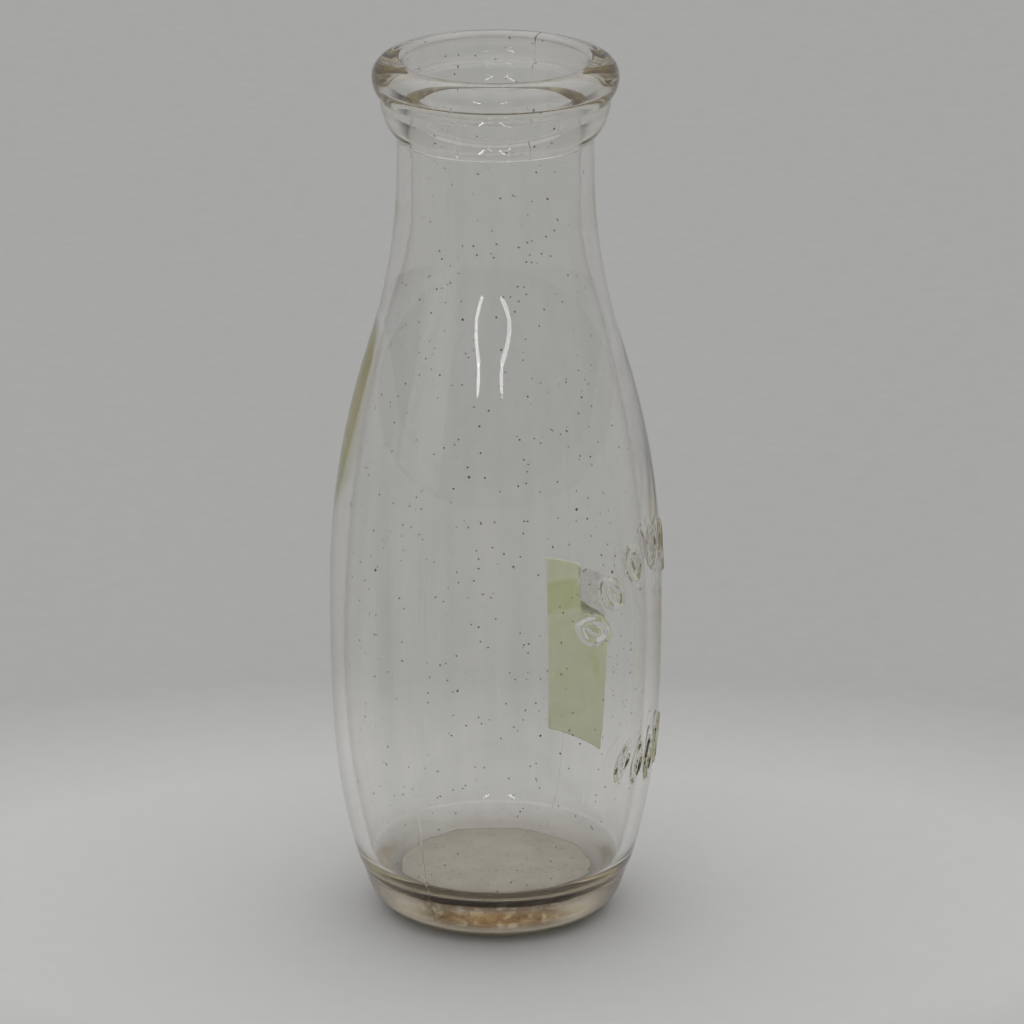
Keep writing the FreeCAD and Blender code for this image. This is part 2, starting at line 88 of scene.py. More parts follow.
# ----------------------------------------------- the CAD part's own outline
def seam_outline(node):
    """The turned glass's outline, from the middle of its underside, up its
    outside, over the lip and down its inside to the middle of the floor. The
    CAD surfaces all start in the half-plane behind the axis, so the mesh has
    exact points there. Gives (radius, height) pairs."""
    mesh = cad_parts[node].data
    places = {
        v.index: (round(v.co.y, 7), round(v.co.z, 7))
        for v in mesh.vertices if abs(v.co.x) < 2e-6 and v.co.y > -1e-7
    }
    beside = {}
    for edge in mesh.edges:
        a, b = (places.get(i) for i in edge.vertices)
        if a and b and a != b:
            beside.setdefault(a, set()).add(b)
            beside.setdefault(b, set()).add(a)
    outline = [min((p for p in beside if p[0] < 1e-6), key=lambda p: p[1])]
    while True:
        onward = [p for p in beside[outline[-1]] if p not in outline[-2:]]
        if not onward:
            return np.array(outline)
        outline.append(onward[0])


def travelled(curve):
    """The length of the curve from its start to each of its points."""
    return np.concatenate([[0], np.cumsum(np.hypot(*np.diff(curve, axis=0).T))])


def rounded_curve(points, step, corner, softness):
    """A smooth curve through the points, sampled every step. Turns sharper
    than the angle corner stay corners, and then everything is softened a
    little, as fire-polished glass is."""
    legs = np.diff(points, axis=0)
    lengths = np.hypot(*legs.T)
    unit = legs / lengths[:, None]
    turn = np.arccos(np.clip((unit[1:] * unit[:-1]).sum(axis=1), -1, 1))
    leaving, arriving = unit.copy(), unit.copy()
    for i, angle in enumerate(turn, start=1):
        if angle < corner:
            blend = unit[i - 1] * lengths[i] + unit[i] * lengths[i - 1]
            arriving[i - 1] = leaving[i] = blend / np.hypot(*blend)
    leaving[0] = (1, 0)
    arriving[-1] = (-1, 0)
    samples = []
    for i, length in enumerate(lengths):
        count = max(2, math.ceil(length / step))
        t = (np.arange(count) / count)[:, None]
        samples.append((2 * t**3 - 3 * t**2 + 1) * points[i]
                       + (t**3 - 2 * t**2 + t) * length * leaving[i]
                       + (3 * t**2 - 2 * t**3) * points[i + 1]
                       + (t**3 - t**2) * length * arriving[i])
    curve = np.vstack(samples + [points[-1:]])
    far = travelled(curve)
    even = np.linspace(0, far[-1], math.ceil(far[-1] / step))
    curve = np.stack([np.interp(even, far, curve[:, k]) for k in (0, 1)], axis=1)
    reach = math.ceil(3 * softness / step)
    weights = np.exp(-0.5 * (np.arange(-reach, reach + 1) * step / softness) ** 2)
    weights /= weights.sum()
    mirrored = np.array([-1, 1])
    padded = np.vstack([curve[reach:0:-1] * mirrored, curve,
                        curve[-2:-reach - 2:-1] * mirrored])
    soft = np.stack([np.convolve(padded[:, k], weights, "valid") for k in (0, 1)], axis=1)
    soft[[0, -1], 0] = 0
    return soft


def spread(positions, spacing):
    """New positions along a line, as far apart as spacing says at each place."""
    gaps = np.diff(positions) / (0.5 * (spacing[1:] + spacing[:-1]))
    passed = np.concatenate([[0], np.cumsum(gaps)])
    return np.interp(np.linspace(0, passed[-1], math.ceil(passed[-1]) + 1), passed, positions)


def rings_along(curve, row_spacing, bend_per_row):
    """Places for rings on the curve, closer where it bends: about
    bend_per_row radians of bend between two rows. Gives their (radius,
    height) and their outward normals, without the curve's ends."""
    far = travelled(curve)
    tangent = np.gradient(curve, far, axis=0)
    heading = np.unwrap(np.arctan2(tangent[:, 1], tangent[:, 0]))
    bend = np.abs(np.gradient(heading, far))
    bend = np.convolve(bend, np.ones(9) / 9, "same")
    spacing = np.clip(bend_per_row / np.maximum(bend, 1), CLOSEST_ROWS, row_spacing)
    rows = spread(far, spacing)[1:-1]
    at = np.stack([np.interp(rows, far, curve[:, k]) for k in (0, 1)], axis=1)
    heading = np.interp(rows, far, heading)
    return at, np.stack([np.sin(heading), -np.cos(heading)], axis=1)


def turned_piece(name, start, rings, end):
    """A closed skin round the axis: from a height on the axis, over rings of
    points, to another height on the axis. Each ring is an array of points,
    anticlockwise from above, and neighbours may have different counts."""
    vertices = [np.array([[0, 0, start]])] + rings + [np.array([[0, 0, end]])]
    first = np.cumsum([0] + [len(v) for v in vertices])
    faces = []
    count = len(rings[0])
    faces += [(0, 1 + (j + 1) % count, 1 + j) for j in range(count)]
    for i in range(len(rings) - 1):
        low, high = int(first[i + 1]), int(first[i + 2])
        a, b = len(rings[i]), len(rings[i + 1])
        if a == b:
            faces += [(low + j, low + (j + 1) % a, high + (j + 1) % a, high + j)
                      for j in range(a)]
            continue
        turn_a = np.unwrap(np.arctan2(rings[i][:, 0], -rings[i][:, 1]))
        turn_b = np.unwrap(np.arctan2(rings[i + 1][:, 0], -rings[i + 1][:, 1]))
        turn_a = np.append(turn_a, turn_a[0] + 2 * math.pi)
        turn_b = np.append(turn_b, turn_b[0] + 2 * math.pi)
        p = q = 0
        while p < a or q < b:
            if q == b or (p < a and turn_a[p + 1] <= turn_b[q + 1]):
                faces.append((low + p % a, low + (p + 1) % a, high + q % b))
                p += 1
            else:
                faces.append((low + p % a, high + (q + 1) % b, high + q % b))
                q += 1
    last = int(first[-2])
    count = len(rings[-1])
    ring = last - count
    faces += [(ring + j, ring + (j + 1) % count, last) for j in range(count)]
    return new_piece(name, np.vstack(vertices).tolist(), faces)


# ------------------------------------------------------------ the glass walls
OUTLINE = rounded_curve(seam_outline("glass_bottle"), step=0.05 * MM,
                        corner=math.radians(24), softness=0.15 * MM)
LIP = int(np.argmax(OUTLINE[:, 1]))
OUTSIDE, INSIDE = OUTLINE[:LIP + 1], OUTLINE[LIP:]

# The moulded leaves face this way, and fill this much to either side of it,
# in two bands of height.
LEAVES_AZIMUTH = math.radians(70)
LEAVES_REACH = math.radians(49)
UPPER_LEAVES = (71 * MM, 97 * MM)
LOWER_LEAVES = (33 * MM, 49 * MM)
LEAF_HEIGHT = 0.5 * MM
# The CAD solid counts as a leaf from this far out of the wall, and is fully
# one this much further out. Its edges are softened over the last length.
LEAF_FOOT = 0.08 * MM
LEAF_RISE = 0.25 * MM
LEAF_BLUR = 0.36 * MM

# The ridges where the mould's halves met, on the body and on the finish.
BODY_SEAMS = np.radians([-29, 151])
FINISH_SEAMS = np.radians([-21, 159])
BODY_SEAM_ENDS = (3 * MM, 170 * MM)
FINISH_SEAM_ENDS = (181 * MM, 199.5 * MM)
SEAM_FADE = 3 * MM
SEAM_WIDTH = 0.2 * MM
SEAM_HEIGHT = 0.12 * MM

# The spacing of the mesh's rows and columns, which are closer where more
# happens: over the leaves, over the seams, and from the neck's top upwards.
OUTSIDE_ROWS = 2.0 * MM
INSIDE_ROWS = 2.5 * MM
LEAF_ROWS = 0.37 * MM
FINISH_ROWS = 0.8 * MM
OUTSIDE_NECK_TOP = 180 * MM
INSIDE_NECK_TOP = 176 * MM
BEND_PER_ROW = 0.13
PLAIN_COLUMNS = math.radians(3.0)
LEAF_COLUMNS = math.radians(0.55)
SEAM_COLUMNS = math.radians(0.16)
SEAM_REACH = math.radians(1.1)
INSIDE_COLUMNS = 120


def angle_from(azimuth, centre):
    """The turn from the centre, between minus and plus half a circle."""
    return (azimuth - centre + math.pi) % (2 * math.pi) - math.pi


def outside_wave(azimuth, height):
    """How far the outside of the blown wall stands off its true shape: the
    broad and fine waves of glass that chilled against the mould."""
    fade = smoothstep(4 * MM, 20 * MM, height) * (1 - smoothstep(172 * MM, 182 * MM, height))
    broad = ripples(azimuth, height, seed=11, waves=7, turns=(1, 4), rises=(20, 110))
    fine = ripples(azimuth, height, seed=12, waves=9, turns=(7, 19), rises=(15, 90))
    return fade * (0.07 * broad + 0.012 * fine) * MM


def inside_wave(azimuth, height):
    """The inside is shaped by air alone, so it wanders more, and it has
    upright drawing lines that are stronger on the neck."""
    fade = smoothstep(6 * MM, 40 * MM, height) * (1 - smoothstep(168 * MM, 180 * MM, height))
    broad = ripples(azimuth, height, seed=21, waves=7, turns=(1, 4), rises=(15, 80))
    upright = ripples(azimuth, height, seed=22, waves=9, turns=(6, 17), rises=(2, 16))
    neck = smoothstep(80 * MM, 130 * MM, height)
    return fade * (0.09 * broad + (0.015 + 0.008 * neck) * upright) * MM


def seam_ridge(azimuth, radius, height):
    """The fine ridges where the mould's halves met. The body's are worn down
    on their way up."""
    worn = 0.75 * smoothstep(50 * MM, 120 * MM, height)
    ridge = 0
    for centres, (low, high), strength in ((BODY_SEAMS, BODY_SEAM_ENDS, 1 - worn),
                                           (FINISH_SEAMS, FINISH_SEAM_ENDS, 1)):
        starting = smoothstep(low, low + SEAM_FADE, height)
        ending = smoothstep(high - SEAM_FADE, high, height)
        shown = starting * (1 - ending) * strength
        for centre in centres:
            off = angle_from(azimuth, centre) * radius / SEAM_WIDTH
            ridge = ridge + shown * np.exp(-off**2)
    return SEAM_HEIGHT * ridge


class MouldedRelief:
    """How far the leaves stand out of the wall, read off the CAD solid."""

    def __init__(self, node):
        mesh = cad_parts[node].data
        self.tree = BVHTree.FromPolygons(
            [v.co for v in mesh.vertices], [tuple(p.vertices) for p in mesh.polygons])

    def height_at(self, azimuth, radius, height):
        """From 0 to 1: the mean over the middle and the corners of a small
        square, so that edges are soft."""
        places = ((0, 0), (-1, -1), (1, -1), (-1, 1), (1, 1))
        total = 0
        for side, lift in places:
            turn = azimuth + side * LEAF_BLUR / 2 / radius
            level = height + lift * LEAF_BLUR / 2
            way = Vector((math.sin(turn), -math.cos(turn), 0))
            well_outside = way * (radius + 5 * MM) + Vector((0, 0, level))
            hit = self.tree.ray_cast(well_outside, -way)[0]
            proud = hit.to_2d().length - radius if hit else 0
            total += min(max((proud - LEAF_FOOT) / LEAF_RISE, 0), 1)
        return total / len(places)


def leaf_relief(azimuths, radii, heights, relief):
    """A grid of how raised the leaves are, from 0 to 1."""
    raised = np.zeros((len(radii), len(azimuths)))
    columns = np.nonzero(np.abs(angle_from(azimuths, LEAVES_AZIMUTH)) < LEAVES_REACH)[0]
    for i, (radius, height) in enumerate(zip(radii, heights)):
        if any(low < height < high for low, high in (UPPER_LEAVES, LOWER_LEAVES)):
            for j in columns:
                raised[i, j] = relief.height_at(azimuths[j], radius, height)
    return raised


def outside_azimuths():
    """Closer together over the leaves and over the mould seams."""
    fine = np.linspace(0, 2 * math.pi, 7200, endpoint=False)
    spacing = np.full(len(fine), PLAIN_COLUMNS)
    spacing[np.abs(angle_from(fine, LEAVES_AZIMUTH)) < LEAVES_REACH] = LEAF_COLUMNS
    for centre in (*BODY_SEAMS, *FINISH_SEAMS):
        spacing[np.abs(angle_from(fine, centre)) < SEAM_REACH] = SEAM_COLUMNS
    return spread(np.append(fine, 2 * math.pi), np.append(spacing, spacing[0]))[:-1]


def lifted_rings(azimuths, at, normal, lift):
    """One ring for each row of at, moved along its normal by that row of lift."""
    return [polar(azimuths, radius + off * outward, height + off * upward)
            for (radius, height), (outward, upward), off in zip(at, normal, lift)]


def make_glass():
    """The bottle's wall, as one closed skin: up the outside, over the lip and
    down the inside."""
    azimuths = outside_azimuths()
    height = OUTSIDE[:, 1]
    spacing = np.full(len(height), OUTSIDE_ROWS)
    for low, high in (UPPER_LEAVES, LOWER_LEAVES):
        spacing[(height > low) & (height < high)] = LEAF_ROWS
    spacing[height > OUTSIDE_NECK_TOP] = FINISH_ROWS
    at, normal = rings_along(OUTSIDE, spacing, BEND_PER_ROW)
    radii, heights = at[:, :1], at[:, 1:]
    raised = leaf_relief(azimuths, at[:, 0], at[:, 1], MouldedRelief("glass_bottle"))
    lift = (outside_wave(azimuths, heights) + seam_ridge(azimuths, radii, heights)
            + LEAF_HEIGHT * raised)
    rings = lifted_rings(azimuths, at, normal, lift)

    azimuths = np.linspace(0, 2 * math.pi, INSIDE_COLUMNS, endpoint=False)
    spacing = np.where(INSIDE[:, 1] > INSIDE_NECK_TOP, FINISH_ROWS, INSIDE_ROWS)
    at, normal = rings_along(INSIDE, spacing, BEND_PER_ROW)
    rings += lifted_rings(azimuths, at, normal, inside_wave(azimuths, at[:, 1:]))
    piece = turned_piece("bottle_glass", OUTLINE[0, 1], rings, OUTLINE[-1, 1])
    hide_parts("glass_bottle")
    return piece


def outside_radius(azimuth, height):
    """The wall's outside, waves and all, between the heel and the neck."""
    wall = OUTSIDE[(OUTSIDE[:, 1] > 3 * MM) & (OUTSIDE[:, 1] < 170 * MM)]
    return np.interp(height, wall[:, 1], wall[:, 0]) + outside_wave(azimuth, height)


# ------------------------------------------------------------------ materials
class Nodes:
    """Short calls for building one material's nodes."""

    def __init__(self, name):
        self.material = bpy.data.materials.new(name)
        self.material.use_nodes = True
        self.tree = self.material.node_tree
        self.shader = self.tree.nodes["Principled BSDF"]
        self.output = self.tree.nodes["Material Output"]
        self.place = self.tree.nodes.new("ShaderNodeTexCoord").outputs["Object"]

    def add(self, kind, **inputs):
        node = self.tree.nodes.new("ShaderNode" + kind)
        for name, value in inputs.items():
            self.set(node.inputs[name.replace("_", " ")], value)
        return node

    def set(self, socket, value):
        """The value is another node's output, or a plain value."""
        if isinstance(value, bpy.types.NodeSocket):
            self.tree.links.new(value, socket)
        else:
            socket.default_value = value

    def principled(self, **inputs):
        for name, value in inputs.items():
            self.set(self.shader.inputs[name.replace("_", " ")], value)

    def scaled(self, x, y, z):
        """The place, stretched for a pattern that runs one way."""
        node = self.add("Mapping", Vector=self.place)
        node.inputs["Scale"].default_value = (x, y, z)
        return node.outputs[0]

    def noise(self, scale, detail, roughness, vector=None):
        node = self.add("TexNoise", Scale=scale, Detail=detail, Roughness=roughness,
                        Vector=vector or self.place)
        return node.outputs["Fac"]

    def specks(self, scale, size):
        """1 inside small spots, about one in each cell of a loose grid."""
        node = self.add("TexVoronoi", Scale=scale, Randomness=1.0, Vector=self.place)
        return self.maths("LESS_THAN", node.outputs["Distance"], size)

    def ramp(self, value, *stops):
        """Maps value through (position, grey) stops."""
        node = self.add("ValToRGB", Fac=value)
        elements = node.color_ramp.elements
        while len(elements) < len(stops):
            elements.new(0.5)
        for element, (position, grey) in zip(elements, stops):
            element.position = position
            element.color = (grey, grey, grey, 1)
        return node.outputs["Color"]

    def maths(self, operation, a, b):
        node = self.tree.nodes.new("ShaderNodeMath")
        node.operation = operation
        self.set(node.inputs[0], a)
        self.set(node.inputs[1], b)
        return node.outputs[0]

    def mix(self, factor, a, b):
        """A colour between a and b: each is an output or (red, green, blue)."""
        node = self.tree.nodes.new("ShaderNodeMix")
        node.data_type = "RGBA"
        # The node has a pair of inputs for each kind of data: 6 and 7 are colours.
        self.set(node.inputs[0], factor)
        for socket, colour in ((node.inputs[6], a), (node.inputs[7], b)):
            self.set(socket, (*colour, 1) if isinstance(colour, tuple) else colour)
        return node.outputs[2]

    def attribute(self, name):
        node = self.tree.nodes.new("ShaderNodeAttribute")
        node.attribute_name = name
        return node.outputs["Fac"]

    def part(self, axis):
        """How far along one of the frame's axes the surface lies, in metres."""
        return self.add("SeparateXYZ", Vector=self.place).outputs[axis]

    def bump(self, value, distance):
        node = self.add("Bump", Height=value, Distance=distance)
        self.set(self.shader.inputs["Normal"], node.outputs[0])


# The stains and the crust at the base are placed as parts of these distances,
# up from the floor and forward from the axis.
STAINED_BASE = 20 * MM
HEEL_FRONT = 30 * MM


def glass_material():
    """Old soda-lime glass: clear with a faint brown cast, dulled in upright
    streaks, freckled with specks, stained where it is thick, at the base, and
    with painted shade where it is seen edge-on."""
    n = Nodes("old_clear_glass")
    worn = n.ramp(n.noise(38, 6, 0.65), (0.42, 0.004), (0.75, 0.05))
    rise = n.maths("DIVIDE", n.part("Z"), STAINED_BASE)
    low = n.ramp(rise, (0.3, 1.0), (0.75, 0.0))
    haze = n.maths("ADD", worn, n.maths("MULTIPLY", low, 0.16))

    streaks = n.noise(1.0, 5, 0.65, n.scaled(150, 150, 14))
    dulled = n.ramp(streaks, (0.35, 0.0), (0.7, 1.0))
    tint = n.mix(dulled, (0.99, 0.99, 0.987), (0.92, 0.925, 0.91))
    grime = n.maths("MULTIPLY", low, n.ramp(n.noise(160, 6, 0.7), (0.35, 0.35), (0.7, 1.0)))
    tint = n.mix(grime, tint, (0.76, 0.69, 0.60))
    tint = n.mix(n.specks(300, 0.07), tint, (0.10, 0.08, 0.06))
    tint = n.mix(n.specks(70, 0.025), tint, (0.05, 0.035, 0.02))

    # A broken brown crust runs along the front of the heel.
    band = n.ramp(rise, (0.12, 0.0), (0.24, 1.0), (0.58, 1.0), (0.63, 0.0))
    forward = n.maths("DIVIDE", n.part("Y"), -HEEL_FRONT)
    front = n.ramp(forward, (0.70, 0.0), (0.86, 1.0))
    patchy = n.ramp(n.noise(260, 6, 0.75), (0.34, 0.3), (0.52, 1.0))
    crust = n.maths("MULTIPLY", n.maths("MULTIPLY", band, front), patchy)
    tint = n.mix(crust, tint, (0.13, 0.08, 0.05))

    # Seen edge-on, the glass's colour is darkened: painted shade that draws a darker outline.
    facing = n.add("LayerWeight", Blend=0.5).outputs["Facing"]
    painted_edge_shade = n.ramp(facing, (0.70, 0.0), (0.96, 1.0))
    tint = n.mix(painted_edge_shade, tint, (0.30, 0.29, 0.27))

    n.principled(Base_Color=tint, Roughness=haze, IOR=1.52, Transmission_Weight=1.0)
    absorption = n.add("VolumeAbsorption", Color=(0.955, 0.935, 0.885, 1), Density=60.0)
    n.set(n.output.inputs["Volume"], absorption.outputs[0])
    return n.material


def give(piece, material):
    piece.data.materials.clear()
    piece.data.materials.append(material)


glass = make_glass()
give(glass, glass_material())


# ------------------------------------------------- the sticker and its glue
def slab(name, inner, outer):
    """A closed thin solid between two grids of points, inner and outer."""
    rows, columns = inner.shape[:2]
    vertices = np.vstack([inner.reshape(-1, 3), outer.reshape(-1, 3)]).tolist()
    top = rows * columns
    faces = []
    for i in range(rows - 1):
        for j in range(columns - 1):
            a, b = i * columns + j, i * columns + j + 1
            c, d = b + columns, a + columns
            faces.append((a, d, c, b))
            faces.append((top + a, top + b, top + c, top + d))
    border = ([(0, j) for j in range(columns)] + [(i, columns - 1) for i in range(1, rows)]
              + [(rows - 1, j) for j in range(columns - 2, -1, -1)]
              + [(i, 0) for i in range(rows - 2, 0, -1)])
    edge = [i * columns + j for i, j in border]
    for a, b in zip(edge, edge[1:] + edge[:1]):
        faces.append((a, b, top + b, top + a))
    return new_piece(name, vertices, faces)


# These radii turn lengths on the wall into azimuths and back: the body's
# widest, the wall's under the sticker, and the one its ends' wander is drawn on.
WIDEST_RADIUS = 37.55 * MM
WALL_RADIUS = 37.4 * MM
ENDS_RADIUS = 37 * MM

# The sticker hangs a little askew: its lower end is nearer the leaves, and is
# cut off level by SLANT on either side of the middle.
STICKER_AZIMUTH = math.radians(145.8)
STICKER_LEAN = math.radians(1.8)
STICKER_BOTTOM, STICKER_TOP = 29.5 * MM, 71 * MM
STICKER_MIDDLE = (STICKER_BOTTOM + STICKER_TOP) / 2
HALF_STICKER = 9 * MM / WIDEST_RADIUS
STICKER_START = STICKER_AZIMUTH - HALF_STICKER
STICKER_END = STICKER_AZIMUTH + HALF_STICKER
SLANT = 0.9 * MM

# A corner is torn off at the top, above TEAR_BOTTOM and before TORN_AZIMUTH.
TEAR_BOTTOM = STICKER_TOP - 10.5 * MM
TORN_AZIMUTH = STICKER_START + 8.4 * MM / WALL_RADIUS


def ragged(position, seed, step):
    """A torn edge's wander, between -1 and 1, with a knot at every step of
    the position. Positions may run from -60 to 139 steps."""
    rng = np.random.default_rng(seed)
    knots = rng.uniform(-1, 1, 200)
    return np.interp(position / step + 60, np.arange(200), knots)


def ragged_end(azimuth, seed, step):
    """The same along the sticker's top or bottom."""
    return ragged(azimuth * ENDS_RADIUS, seed, step)


def slanted(azimuth):
    """How far the sticker's lower end is above its middle's height."""
    return SLANT * (azimuth - STICKER_AZIMUTH) / HALF_STICKER


def sticker_grid(left_edge, right_edge, bottom, top, rows, columns):
    """Azimuths and heights of a patch whose sides are functions of height and
    whose ends are functions of azimuth."""
    level = np.linspace(0, 1, rows)[:, None]
    across = np.linspace(0, 1, columns)[None, :]
    height = STICKER_BOTTOM + level * (STICKER_TOP - STICKER_BOTTOM)
    azimuth = left_edge(height) + across * (right_edge(height) - left_edge(height))
    height = bottom(azimuth) + level * (top(azimuth) - bottom(azimuth))
    return azimuth, height


def hung(azimuth, height, lift):
    """Points this far off the wall, with the sticker's lean."""
    lean = STICKER_LEAN * (height - STICKER_MIDDLE) / (STICKER_TOP - STICKER_MIDDLE)
    azimuth = azimuth + lean
    return polar(azimuth, outside_radius(azimuth, height) + lift, height)


def paint(piece, name, values):
    """Gives a slab one number per point, the same on both its sides."""
    layer = piece.data.attributes.new(name, "FLOAT", "POINT")
    layer.data.foreach_set("value", np.tile(values.ravel(), 2))


def make_sticker():
    """What is left of the paper, pressed a hair into the glass and the glue."""
    def near_edge(height):
        tear = smoothstep(TEAR_BOTTOM - 0.8 * MM, TEAR_BOTTOM + 2.2 * MM, height)
        rough = 0.35 * ragged(height, 41, 0.8 * MM) + 0.2 * ragged(height, 42, 0.3 * MM)
        return (STICKER_START + tear * (TORN_AZIMUTH - STICKER_START)
                + (0.15 + 1.6 * tear) * rough * MM / WALL_RADIUS)

    def far_edge(height):
        return STICKER_END + 0.06 * MM * ragged(height, 43, 1.5 * MM) / WALL_RADIUS

    def bottom(azimuth):
        return (STICKER_BOTTOM + slanted(azimuth)
                + 0.05 * MM * ragged_end(azimuth, 44, 1.0 * MM))

    def top(azimuth):
        return STICKER_TOP + 0.15 * MM * ragged_end(azimuth, 45, 1.2 * MM)

    azimuth, height = sticker_grid(near_edge, far_edge, bottom, top, rows=130, columns=60)
    across = (azimuth - STICKER_START) / (STICKER_END - STICKER_START)
    wrinkle = np.abs(ripples(azimuth * 9, height, seed=46, waves=8, turns=(1, 5),
                             rises=(200, 900)))
    inner = hung(azimuth, height, -0.02 * MM)
    outer = hung(azimuth, height, (0.20 + 0.05 * wrinkle) * MM)
    piece = slab("sticker_paper", inner, outer)

    # Darker where damp-stained, and painted shade where the paper is doubled
    # over and along its creases.
    level = height / MM
    fold_foot = 56.5 + 6.5 * (1 - across)
    fold_head = 64.0 + 5.5 * (1 - across)
    fold_shade = (smoothstep(0, 1.2, level - fold_foot)
            * (1 - smoothstep(0, 1.4, level - fold_head)))
    damp = np.exp(-((across - 0.22) / 0.13) ** 2 - ((level - 48) / 4.2) ** 2)
    crease_shade = ripples(azimuth * 9, height, seed=47, waves=10, turns=(1, 7),
                      rises=(150, 900))
    paint(piece, "stain_and_shade", np.clip(0.75 * fold_shade + 0.7 * damp + 0.10 * crease_shade, 0, 1))
    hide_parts("price_sticker")
    return piece


def make_adhesive():
    """The old glue under the paper, laid bare where a corner was torn away."""
    def near_edge(height):
        return STICKER_START + (0.5 + 0.35 * ragged(height, 51, 0.9 * MM)) * MM / WALL_RADIUS

    def far_edge(height):
        return STICKER_END - (0.6 + 0.2 * ragged(height, 52, 1.1 * MM)) * MM / WALL_RADIUS

    def bottom(azimuth):
        return (STICKER_BOTTOM + 1.2 * MM + slanted(azimuth)
                + 0.1 * MM * ragged_end(azimuth, 53, 0.9 * MM))

    def top(azimuth):
        return STICKER_TOP - (0.7 + 0.35 * ragged_end(azimuth, 54, 0.9 * MM)) * MM

    azimuth, height = sticker_grid(near_edge, far_edge, bottom, top, rows=90, columns=44)
    grain = ripples(azimuth * 11, height, seed=55, waves=9, turns=(1, 9),
                    rises=(300, 1500))
    covered = smoothstep(TORN_AZIMUTH - 0.8 * MM / WALL_RADIUS,
                         TORN_AZIMUTH + 0.2 * MM / WALL_RADIUS, azimuth)
    above = smoothstep(TEAR_BOTTOM - 1.5 * MM, TEAR_BOTTOM + 0.5 * MM, height)
    piece = slab("sticker_glue", hung(azimuth, height, -0.04 * MM),
                 hung(azimuth, height, (0.06 + 0.02 * np.clip(grain, -1, 1)) * MM))
    paint(piece, "bare", (1 - covered) * above)
    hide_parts("sticker_adhesive")
    return piece


def paper_material():
    """Faded green paper with fibres, stains and painted shade, thin enough to glow a little.
    """
    n = Nodes("faded_green_paper")
    mottle = n.noise(420, 5, 0.7)
    fibres = n.noise(1.0, 4, 0.7, n.scaled(2600, 2600, 700))
    base = n.mix(mottle, (0.82, 0.89, 0.54), (0.94, 0.97, 0.70))
    base = n.mix(n.maths("MULTIPLY", fibres, 0.35), base, (0.96, 0.97, 0.80))
    # The painted numbers darken it: real damp stains, and painted shade at the fold and along
    # the creases.
    stained_and_shaded = n.mix(n.attribute("stain_and_shade"), base, (0.56, 0.63, 0.38))
    n.principled(Base_Color=stained_and_shaded, Roughness=0.85, Subsurface_Weight=1.0,
                 Subsurface_Scale=2 * MM)
    n.set(n.shader.inputs["Subsurface Radius"], (0.9, 1.0, 0.6))
    n.bump(n.maths("ADD", mottle, fibres), 0.06 * MM)
    return n.material


def glue_material():
    """A yellowed, patchy film, and hardly any of it where paper covers it."""
    n = Nodes("yellowed_glue")
    patch = n.noise(700, 5, 0.7)
    colour = n.mix(patch, (0.64, 0.56, 0.44), (0.84, 0.77, 0.65))
    cover = n.maths("MULTIPLY", n.ramp(patch, (0.25, 0.4), (0.7, 0.8)),
                    n.maths("ADD", n.attribute("bare"), 0.04))
    n.principled(Base_Color=colour, Roughness=0.55, Alpha=cover, Subsurface_Weight=1.0,
                 Subsurface_Scale=2 * MM)
    n.set(n.shader.inputs["Subsurface Radius"], (0.9, 0.9, 0.9))
    n.bump(patch, 0.05 * MM)
    return n.material


glue = make_adhesive()
give(glue, glue_material())
sticker = make_sticker()
give(sticker, paper_material())


# --------------------------------------------------------- dried milk inside
FILM_REACH = 22.8 * MM
BELOW_THE_BORE = 20 * MM
# The film sinks this far into the glass, and stands this far out of it, at its
# edge and in its middle.
FILM_SUNK = 0.03 * MM
FILM_EDGE = 0.03 * MM
FILM_MIDDLE = 0.13 * MM


def make_film():
    """A dull skin dried on the inside floor. It thins out as it starts to
    climb the rounded edge, and its own edge wanders a little."""
    on_floor = (INSIDE[:, 0] < FILM_REACH) & (INSIDE[:, 1] < BELOW_THE_BORE)
    floor_path = INSIDE[on_floor][::-1]
    columns = np.linspace(0, 2 * math.pi, 180, endpoint=False)
    at, _ = rings_along(floor_path, np.full(len(floor_path), 0.6 * MM), 0.2)
    wander = 0.015 * ripples(columns, 0.0, seed=61, waves=8, turns=(1, 17), rises=(0, 1))
    under, over = [], []
    for part, radius in zip(np.linspace(0, 1, len(at)), at[:, 0]):
        wandering = radius * (1 + wander * radius / FILM_REACH)
        level = np.interp(wandering, at[:, 0], at[:, 1])
        thick = FILM_EDGE + (FILM_MIDDLE - FILM_EDGE) * smoothstep(1, 0.8, part)
        under.append(polar(columns, wandering, level - FILM_SUNK))
        over.append(polar(columns, wandering, level + thick))
    piece = turned_piece("dried_milk", at[0, 1] - FILM_SUNK, under + over[::-1],
                         at[0, 1] + FILM_MIDDLE)
    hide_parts("dried_film")
    return piece


def film_material():
    """Hazy beige, cloudy and freckled, and a little see-through."""
    n = Nodes("dried_milk_film")
    cloud = n.noise(130, 6, 0.65)
    freckle = n.noise(900, 3, 0.6)
    beige = n.mix(cloud, (0.95, 0.87, 0.73), (1.0, 0.95, 0.84))
    colour = n.mix(n.ramp(freckle, (0.62, 0.0), (0.7, 0.6)), beige, (0.35, 0.27, 0.18))
    cover = n.ramp(cloud, (0.3, 0.8), (0.7, 0.95))
    n.principled(Base_Color=colour, Roughness=0.8, Alpha=cover)
    n.bump(n.maths("ADD", cloud, freckle), 0.1 * MM)
    return n.material


film = make_film()
give(film, film_material())


